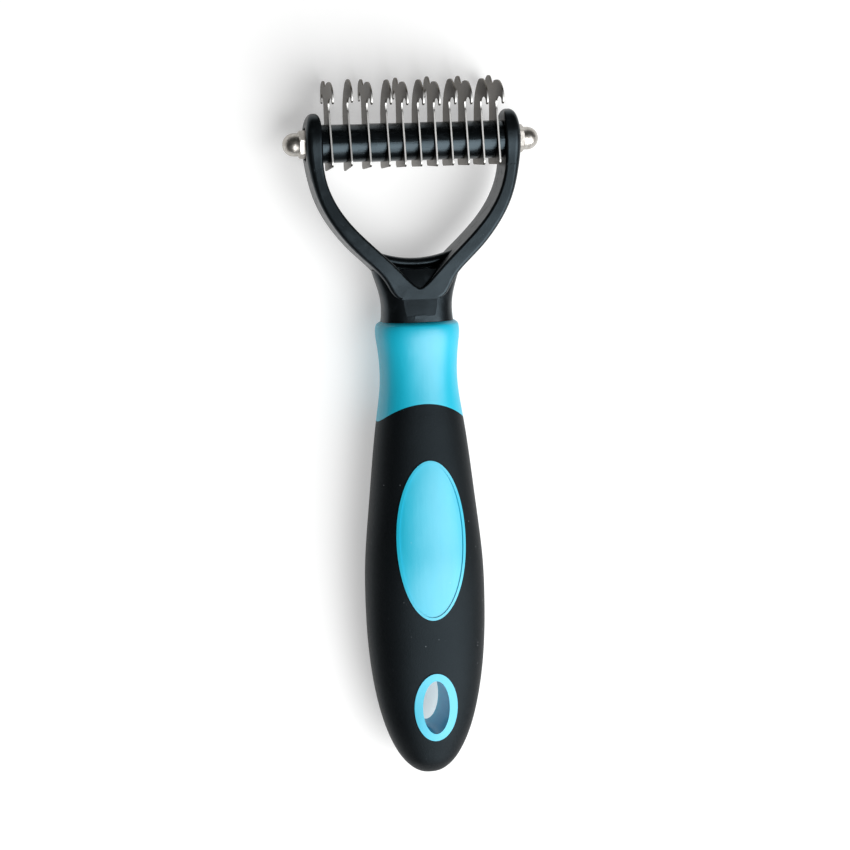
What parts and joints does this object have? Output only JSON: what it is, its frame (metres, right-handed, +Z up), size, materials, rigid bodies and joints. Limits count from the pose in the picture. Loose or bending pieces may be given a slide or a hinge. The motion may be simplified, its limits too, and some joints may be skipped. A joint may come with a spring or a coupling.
{
  "type": "dematting comb",
  "caption": "Pet dematting comb: hooked steel blades and spacers on a cross rod with cap nuts, held in a plastic fork on a two-material grip with a hanging hole.",
  "frame": {"origin": "centre of the footprint on the floor, with the comb lying on its back", "axes": "+Y along the handle towards the hooks, +X along the cross rod, +Z up from the back to the front side with the longer hooks"},
  "size_m": [0.0736, 0.2024, 0.025],
  "materials": {
    "core_plastic": "moulded, satin gloss, cyan blue",
    "grip_rubber": "soft-touch overmould, fine satin texture, black",
    "fork_plastic": "moulded nylon, semi-gloss black",
    "spacer_plastic": "moulded tube, gloss black",
    "blade_steel": "stamped stainless sheet, satin faces, ground bright edges",
    "nut_steel": "bright nickel-plated domed nut",
    "rod_steel": "plain zinc-plated rod"
  },
  "bodies": {
    "handle": {"handle_core": "core_plastic", "grip_overmould": "grip_rubber", "fork": "fork_plastic"},
    "blade_head": {"tie_rod": "rod_steel", "blade_01": "blade_steel", "blade_02": "blade_steel", "blade_03": "blade_steel", "blade_04": "blade_steel", "blade_05": "blade_steel", "blade_06": "blade_steel", "blade_07": "blade_steel", "blade_08": "blade_steel", "blade_09": "blade_steel", "blade_10": "blade_steel", "blade_11": "blade_steel", "spacer_01": "spacer_plastic", "spacer_02": "spacer_plastic", "spacer_03": "spacer_plastic", "spacer_04": "spacer_plastic", "spacer_05": "spacer_plastic", "spacer_06": "spacer_plastic", "spacer_07": "spacer_plastic", "spacer_08": "spacer_plastic", "spacer_09": "spacer_plastic", "spacer_10": "spacer_plastic", "spacer_11": "spacer_plastic", "spacer_12": "spacer_plastic"},
    "nut_left": {"cap_nut_left": "nut_steel"},
    "nut_right": {"cap_nut_right": "nut_steel"}
  },
  "joints": [
    {"name": "head_turn", "type": "hinge", "parent": "handle", "child": "blade_head", "pos_m": [0, 0.0829, 0.01155], "axis": [1, 0, 0], "range_deg": [-100, 100]},
    {"name": "cap_nut_left_turn", "type": "hinge", "parent": "blade_head", "child": "nut_left", "pos_m": [-0.033, 0.0829, 0.01155], "axis": [1, 0, 0], "continuous": true},
    {"name": "cap_nut_right_turn", "type": "hinge", "parent": "blade_head", "child": "nut_right", "pos_m": [0.033, 0.0829, 0.01155], "axis": [1, 0, 0], "continuous": true}
  ]
}
